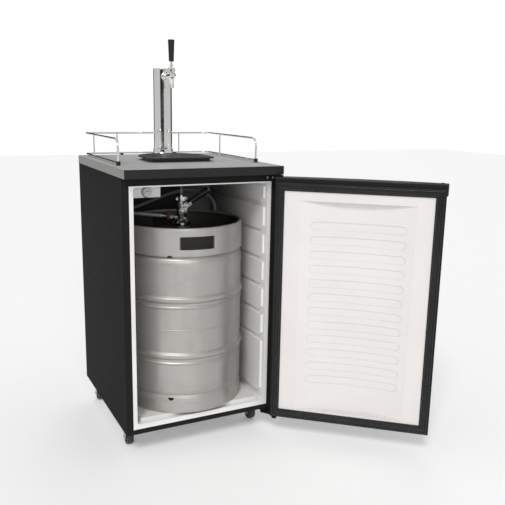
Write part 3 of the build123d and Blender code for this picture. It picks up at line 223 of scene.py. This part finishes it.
def liner_plastic():
    """White tub, clean at the front, with painted shadow that deepens towards the back."""
    s = Shader("liner_white")
    s.round_edges(0.001)
    # Painted shadow: the colour darkens from the front of the tub towards the back.
    depth = s.remap(s.axis("Y"), (LINER_SHADE_STARTS, LINER_SHADE_ENDS), (0, 1))
    depth = s.math("POWER", depth, 1.1)
    tint = s.blend(s.remap(s.noise(8, 5), (0.3, 0.75), (0, 1)), (0.83, 0.82, 0.81), (0.78, 0.77, 0.755))
    s.colour(s.blend(depth, tint, (0.2, 0.2, 0.197)))
    s.roughness(s.remap(s.noise(26, 5), (0.3, 0.7), (0.3, 0.42)))
    s.bump(s.noise(500, 2), 0.00004)
    return s.material


# The door panel turns darker and warmer from the first height down to the second.
DOOR_PLAIN_ABOVE, DOOR_DARKEST_BELOW = 0.75, 0.1  # heights


def door_plastic():
    """White formed sheet, a little darker and warmer low down."""
    s = Shader("door_white")
    s.round_edges(0.0012)
    low = s.remap(s.axis("Z"), (DOOR_PLAIN_ABOVE, DOOR_DARKEST_BELOW), (0, 1))
    mottle = s.remap(s.noise(6, 6), (0.3, 0.75), (0, 0.5))
    shade = s.math("ADD", s.math("MULTIPLY", low, 0.5), mottle)
    s.colour(s.blend(shade, (0.79, 0.765, 0.755), (0.73, 0.7, 0.685)))
    s.roughness(s.remap(s.noise(18, 5), (0.3, 0.7), (0.36, 0.5)))
    s.bump(s.noise(420, 2), 0.00004)
    return s.material


# Where the shade in the keg's top well starts and is full: its radius, and depths below the rim.
WELL_RADIUS = (0.1965, 0.1955)
WELL_FLOOR_DROP = (0.095, 0.085)
WELL_RIM_DROP = (0.004, 0.012)


def keg_steel():
    """Pickled stainless steel: satin, with rolled lines and scuffs, in upright lighter and darker bands of painted
    reflection.

    The well inside the top chime is darker, as little light gets into it.
    """
    s = Shader("keg_steel")
    s.set(metallic=0.85)
    s.round_edges(0.0008)
    rolled = s.noise(60, 4, (0.3, 0.3, 9))
    scuff = s.remap(s.noise(5, 8, (1, 1, 2.2), 0.7), (0.42, 0.72), (0, 1))
    fine = s.remap(s.noise(260, 3, (0.2, 0.2, 4)), (0.35, 0.7), (0, 1))
    # Painted reflection: upright lighter and darker bands in the colour.
    bands = s.remap(s.noise(9, 3, (1, 1, 0.25)), (0.38, 0.62), (0, 1))
    base = s.blend(s.math("MULTIPLY", rolled, 0.4), (0.5, 0.49, 0.465), (0.4, 0.39, 0.372))
    base = s.blend(s.math("MULTIPLY", bands, 0.4), base, (0.3, 0.295, 0.28))
    base = s.blend(s.math("MULTIPLY", scuff, 0.35), base, (0.34, 0.33, 0.315))
    low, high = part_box("keg_shell")
    middle = (low + high) / 2
    across = s.math("SUBTRACT", s.axis("X"), middle.x)
    along = s.math("SUBTRACT", s.axis("Y"), middle.y)
    squares = s.math("ADD", s.math("MULTIPLY", across, across), s.math("MULTIPLY", along, along))
    # Painted shade: the colour goes near black in the well inside the top chime.
    well = s.remap(s.math("SQRT", squares), WELL_RADIUS, (0, 1))
    for drops in (WELL_FLOOR_DROP, WELL_RIM_DROP):
        heights = tuple(high.z - drop for drop in drops)
        well = s.math("MULTIPLY", well, s.remap(s.axis("Z"), heights, (0, 1)))
    s.colour(s.blend(s.math("MULTIPLY", well, 0.8), base, (0.035, 0.035, 0.035)))
    s.roughness(s.math("ADD", s.remap(fine, (0, 1), (0.36, 0.46)), s.math("MULTIPLY", scuff, 0.08)))
    s.bump(rolled, 0.00005, 0.5)
    s.bump(fine, 0.00002)
    return s.material


def chrome_painted_shade():
    """Chromed castings in the shade of the cabinet, with painted reflection of its dark inside: darker where they
    face down or towards +X, and in patches.
    """
    s = Shader("chrome_painted_shade")
    s.set(metallic=1.0)
    s.round_edges(0.0006)
    # Painted reflection of the dark cabinet inside: darker facing down, facing +X and in patches.
    level = s.remap(s.facing("Z"), (0.25, -0.35), (0, 1))
    side = s.remap(s.facing("X"), (0.2, 0.75), (0, 1))
    patches = s.remap(s.noise(70, 3), (0.42, 0.58), (0, 1))
    dark = s.math("MAXIMUM", s.math("MULTIPLY", level, 0.75), side)
    dark = s.math("MAXIMUM", dark, s.math("MULTIPLY", patches, 0.8))
    s.colour(s.blend(dark, (0.72, 0.72, 0.71), (0.07, 0.07, 0.07)))
    s.roughness(s.remap(s.noise(40, 4), (0.3, 0.7), (0.1, 0.2)))
    return s.material


def laminate():
    """Grey laminate with a faint speckle; painted shade makes the faces that do not look up a darker plain grey.
    """
    s = Shader("worktop_laminate")
    s.round_edges(0.0012)
    speck = s.remap(s.noise(420, 3), (0.45, 0.65), (0, 1))
    cloud = s.remap(s.noise(7, 5), (0.3, 0.7), (0, 1))
    # Painted shade: faces that do not look up take a darker plain grey.
    top = s.remap(s.facing("Z"), (0.3, 0.9), (0, 1))
    plain = s.blend(cloud, (0.44, 0.44, 0.435), (0.41, 0.41, 0.405))
    speckled = s.blend(s.math("MULTIPLY", speck, 0.3), plain, (0.49, 0.49, 0.48))
    s.colour(s.blend(top, (0.24, 0.235, 0.225), speckled))
    s.set(specular_ior_level=0.25)
    s.roughness(s.remap(s.noise(24, 5), (0.3, 0.7), (0.38, 0.5)))
    s.bump(speck, 0.00003)
    return s.material


def foam():
    """Yellow poured foam with open pores."""
    s = Shader("foam")
    s.colour(s.blend(s.noise(60, 6), (0.75, 0.62, 0.36), (0.85, 0.76, 0.52)))
    s.set(roughness=0.9)
    s.bump(s.noise(240, 5), 0.0006)
    return s.material


def clear_hose():
    """Clear vinyl hose gone slightly milky."""
    s = Shader("beer_hose")
    s.set(transmission_weight=0.5, ior=1.4)
    s.colour(s.blend(s.noise(30, 3), (0.3, 0.3, 0.29), (0.22, 0.22, 0.21)))
    s.roughness(s.remap(s.noise(60, 4), (0.3, 0.7), (0.12, 0.25)))
    s.bump(s.noise(300, 2), 0.00003)
    return s.material


SLOT_MATERIALS = {
    # The cabinet paint's front colour is painted shade for the faces that look forward.
    "cabinet_paint": painted("cabinet_paint", (0.017, 0.017, 0.0167), (0.02, 0.02, 0.0195),
                             front=(0.019, 0.019, 0.0185)),
    "galvanized": metal("galvanized", (0.5, 0.51, 0.52), 0.42, darker=0.7, grain=40),
    "white_plastic": liner_plastic(),
    "foam": foam(),
    # Near black for the cold plate is painted shade.
    "cold_plate": plastic("cold_plate", (0.02, 0.02, 0.02), (0.028, 0.028, 0.028), 0.5),
    "thermostat_plastic": plastic("thermostat_grey", (0.52, 0.52, 0.51), (0.58, 0.58, 0.57), 0.45),
    "dial_plastic": plastic("dial_grey", (0.4, 0.4, 0.39), (0.46, 0.46, 0.45), 0.4),
    "laminate": laminate(),
    "trim_plastic": plastic("trim_black", (0.006, 0.006, 0.0058), (0.009, 0.009, 0.0087), 0.38),
    "chrome": metal("chrome", (0.78, 0.78, 0.77), 0.06, darker=0.92, grain_depth=0.000004),
    "black_rubber": plastic("rubber_black", (0.014, 0.014, 0.014), (0.022, 0.022, 0.021), 0.55,
                            grain=600, grain_depth=0.00008),
    "black_plastic": plastic("plastic_black", (0.016, 0.016, 0.016), (0.026, 0.026, 0.025), 0.42),
    "tap_black": plastic("tap_black", (0.008, 0.008, 0.008), (0.012, 0.012, 0.012), 0.3,
                         grain=200, grain_depth=0.00001),
    "stainless": keg_steel(),
    "board": plastic("board_white", (0.78, 0.77, 0.75), (0.7, 0.69, 0.67), 0.5),
    "red_lever": plastic("red_lever", (0.09, 0.012, 0.01), (0.12, 0.02, 0.016), 0.35),
    "beer_hose": clear_hose(),
    "gas_hose": plastic("gas_hose", (0.2, 0.2, 0.19), (0.26, 0.26, 0.25), 0.4, grain=300),
    "zinc": metal("zinc", (0.46, 0.46, 0.45), 0.36, darker=0.75, grain=60),
    "caster_black": plastic("caster_black", (0.02, 0.02, 0.02), (0.035, 0.035, 0.033), 0.5),
    "can_paint": painted("can_paint", (0.014, 0.014, 0.014), (0.02, 0.02, 0.02), peel=0.00003),
    "bracket_black": painted("bracket_black", (0.012, 0.012, 0.012), (0.018, 0.018, 0.018), peel=0.00003),
    "bushing": plastic("nylon", (0.6, 0.59, 0.55), (0.66, 0.65, 0.6), 0.45),
}
SHADED_CASTINGS = ("coupler_body", "coupler_lever", "beer_nut", "relief_valve", "gas_shutoff")
NODE_MATERIALS = {"door_inner_panel": door_plastic(), **dict.fromkeys(SHADED_CASTINGS, chrome_painted_shade())}


def dress_cad_nodes():
    """Each CAD node gets its own material, or else the one of its material slot."""
    for part in frame["record"]["subparts"]:
        name = part["node"]
        materials = nodes[name].data.materials
        materials.clear()
        materials.append(NODE_MATERIALS.get(name, SLOT_MATERIALS[part["material_slot"]]))


# ---------------------------------------------------------------- copies of the CAD hoses
HOSE_HOLD = 0.02  # how much of a hose's end moves as one with what holds it


def bending_hose(node, piece):
    """A copy of a CAD hose, standing in for the CAD node, which is hidden."""
    hose = bpy.data.objects.new(piece, nodes[node].data.copy())
    bpy.context.scene.collection.objects.link(hose)
    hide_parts(node)
    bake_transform(hose)


def hoses():
    """Copies of the beer line and the gas line, in place of their CAD nodes."""
    for node, piece, slot, wall_hold, keg_hold in (
            ("beer_line", "clear_beer_hose", "beer_hose", HOSE_HOLD, 0),
            ("gas_line", "grey_gas_hose", "gas_hose", 0, HOSE_HOLD)):
        bending_hose(node, piece)


# ---------------------------------------------------------------- small parts that the CAD leaves out
def new_piece(name, vertices, faces, body, material):
    """A mesh in the row frame that rides on a body."""
    mesh = bpy.data.meshes.new(name)
    mesh.from_pydata(vertices, [], faces)
    mesh.update()
    piece = bpy.data.objects.new(name, mesh)
    bpy.context.scene.collection.objects.link(piece)
    mesh.materials.append(material)
    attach(piece, body)
    return piece


def box_faces(first):
    """The six faces of a box whose eight corners start at this index, the back four first."""
    a, b, c, d, e, f, g, h = range(first, first + 8)
    return [(d, c, b, a), (e, f, g, h), (a, b, f, e), (b, c, g, f), (c, d, h, g), (d, a, e, h)]


DIAL_TICKS = 15
TICK_RADIUS = 0.0146
TICK_LENGTH = 0.0038
TICK_HALF_WIDTH = 0.0011
TICK_RAISE = 0.0004


def dial_ticks():
    """A half ring of raised ticks to the left of the thermostat dial."""
    low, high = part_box("thermostat_dial")
    x, z = (low.x + high.x) / 2, (low.z + high.z) / 2
    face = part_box("thermostat_housing")[0].y
    vertices, faces = [], []
    for i in range(DIAL_TICKS):
        angle = pi * (0.5 + i / (DIAL_TICKS - 1))
        out = Vector((cos(angle), 0, sin(angle)))
        across = Vector((-sin(angle), 0, cos(angle)))
        faces += box_faces(len(vertices))
        for y in (face + TICK_RAISE, face - TICK_RAISE):
            for reach, side in ((0, -1), (1, -1), (1, 1), (0, 1)):
                point = out * (TICK_RADIUS + reach * TICK_LENGTH) + across * side * TICK_HALF_WIDTH
                vertices.append((x + point.x, y, z + point.z))
    new_piece("dial_ticks", vertices, faces, "cabinet", SLOT_MATERIALS["tap_black"])


MM_PER_M = 1000
# The seal's section in millimetres: inwards from its outer edge, and out from the door's panel.
SEAL_PROFILE = ((0, 0), (0, 2.2), (0.8, 3.0), (4.6, 3.0), (5.6, 1.8), (6.6, 2.2), (7.4, 5.4), (8.4, 7.2),
                (10.6, 7.6), (11.8, 6.4), (13.0, 6.4), (13.8, 7.3), (15.4, 7.3), (16.2, 6.4), (17.4, 6.4),
                (18.6, 7.6), (20.8, 7.2), (21.6, 5.4), (22.2, 3.0), (24.2, 3.0), (25, 2.2), (25, 0))


def door_place():
    """Carries points given with the door closed to where the door stands at rest."""
    swing = next(joint for joint in frame["joints"] if joint["name"] == "door_swing")
    hinge = Vector(swing["pos_m"])
    opening = Matrix.Rotation(-radians(swing["range_deg"][0]), 4, "Z")
    return Matrix.Translation(hinge) @ opening @ Matrix.Translation(-hinge)


def door_seal():
    """The magnetic seal: one ribbed rubber section run round the door, mitred at its corners."""
    place = door_place()
    closed = [place.inverted() @ v.co for v in nodes["door_gasket"].data.vertices]
    low = Vector(min(p[i] for p in closed) for i in range(3))
    high = Vector(max(p[i] for p in closed) for i in range(3))
    count = len(SEAL_PROFILE)
    vertices = []
    for right, upper in ((0, 0), (1, 0), (1, 1), (0, 1)):
        for inset, height in SEAL_PROFILE:
            step = inset / MM_PER_M
            x = high.x - step if right else low.x + step
            z = high.z - step if upper else low.z + step
            vertices.append(place @ Vector((x, low.y + height / MM_PER_M, z)))
    faces = []
    for corner in range(4):
        here, there = count * corner, count * ((corner + 1) % 4)
        for k in range(count):
            following = (k + 1) % count
            faces.append((here + k, here + following, there + following, there + k))
    rubber = plastic("seal_rubber", (0.01, 0.01, 0.01), (0.017, 0.017, 0.0165), 0.3,
                     grain=600, grain_depth=0.00003, edge=0.0003)
    seal = new_piece("door_seal", vertices, faces, "door", rubber)
    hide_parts("door_gasket")


# ---------------------------------------------------------------- studio
CAMERA_AT = (-0.7741, -2.0909, 1.0755)
CAMERA_YAW = 0.471597
CAMERA_PITCH = 0.216773
CAMERA_ROLL = -0.019051
FOCAL_PIXELS = 670.53
FRAME_PIXELS = 505.0
SENSOR_MM = 36.0
SEES_AS_FAR_AS = 60.0


def make_camera():
    """Stands in front and to the left, looks down a little and is rolled by about a degree."""
    data = bpy.data.cameras.new("camera")
    data.sensor_width = SENSOR_MM
    data.lens = SENSOR_MM * FOCAL_PIXELS / FRAME_PIXELS
    data.clip_end = SEES_AS_FAR_AS
    camera = bpy.data.objects.new("camera", data)
    bpy.context.scene.collection.objects.link(camera)
    level = Vector((sin(CAMERA_YAW), cos(CAMERA_YAW), 0))
    forward = cos(CAMERA_PITCH) * level - Vector((0, 0, sin(CAMERA_PITCH)))
    right = Vector((cos(CAMERA_YAW), -sin(CAMERA_YAW), 0))
    down = forward.cross(right)
    x_axis = cos(CAMERA_ROLL) * right + sin(CAMERA_ROLL) * down
    y_axis = sin(CAMERA_ROLL) * right - cos(CAMERA_ROLL) * down
    turn = Matrix((x_axis, y_axis, -forward)).transposed()
    camera.matrix_world = Matrix.Translation(CAMERA_AT) @ turn.to_4x4()
    bpy.context.scene.camera = camera


# Each light's name, where it shines from, its strength and how wide its disc is in radians.
LIGHTS = (
    ("key", (-1.9, -2.2, 2.9), 1.3, 0.3),
    ("front_fill", (-0.7, -2.7, 0.9), 0.55, 0.5),
    ("rear_fill", (1.5, 2.8, 2.2), 0.35, 0.6),
)


def make_lights():
    """A soft light high on the left, a weaker low one that reaches inside, and one from behind."""
    for name, place, strength, softness in LIGHTS:
        data = bpy.data.lights.new(name, "SUN")
        data.energy = strength
        data.angle = softness
        lamp = bpy.data.objects.new(name, data)
        bpy.context.scene.collection.objects.link(lamp)
        lamp.location = place
        lamp.rotation_euler = (-Vector(place)).to_track_quat("-Z", "Y").to_euler()


# Dot products with the direction to the camera where the mirrored room starts to darken and is dark.
DARK_TOWARDS_CAMERA = (0.87, 0.94)
DARK_AWAY_FROM_CAMERA = (-0.5, -0.62)
OPENING_RISE = 0.2


def make_world():
    """White to the camera and soft grey for scattered light.

    Mirrors see a bright room with a dark opening behind the camera and darkness beyond the object.
    """
    world = bpy.data.worlds.new("studio")
    world.use_nodes = True
    world.cycles.sampling_method = "NONE"
    n = Nodes(world.node_tree)
    dot = n.add("ShaderNodeVectorMath", operation="DOT_PRODUCT")
    n.link(n.add("ShaderNodeTexCoord").outputs["Generated"], dot.inputs[0])
    towards_camera = Vector((-sin(CAMERA_YAW), -cos(CAMERA_YAW), OPENING_RISE)).normalized()
    dot.inputs[1].default_value = towards_camera
    opening = n.remap(dot.outputs["Value"], DARK_TOWARDS_CAMERA, (0, 1))
    beyond = n.remap(dot.outputs["Value"], DARK_AWAY_FROM_CAMERA, (0, 1))
    room = n.blend(n.math("MAXIMUM", opening, beyond), (0.68, 0.68, 0.67), (0.03, 0.03, 0.03))
    rays = n.add("ShaderNodeLightPath").outputs
    scattered = n.blend(rays["Is Glossy Ray"], (0.45, 0.45, 0.45), room)
    seen = n.blend(rays["Is Camera Ray"], scattered, (1.0, 1.0, 1.0))
    n.link(seen, world.node_tree.nodes["Background"].inputs["Color"])
    bpy.context.scene.world = world


FLOOR_REACH = 12.0


def make_floor():
    """Plain pale floor."""
    corners = [(x * FLOOR_REACH, y * FLOOR_REACH, 0) for x, y in ((-1, -1), (1, -1), (1, 1), (-1, 1))]
    mesh = bpy.data.meshes.new("floor")
    mesh.from_pydata(corners, [], [(0, 1, 2, 3)])
    floor = bpy.data.objects.new("floor", mesh)
    bpy.context.scene.collection.objects.link(floor)
    s = Shader("floor")
    s.colour(s.blend(s.noise(2, 3), (0.97, 0.97, 0.97), (0.95, 0.95, 0.95)))
    s.set(roughness=0.7, emission_color=(1, 1, 1, 1), emission_strength=0.12)
    floor.data.materials.append(s.material)


bpy.context.scene.view_settings.view_transform = "Standard"
dress_cad_nodes()
hoses()
dial_ticks()
door_seal()
make_world()
make_lights()
make_floor()
make_camera()
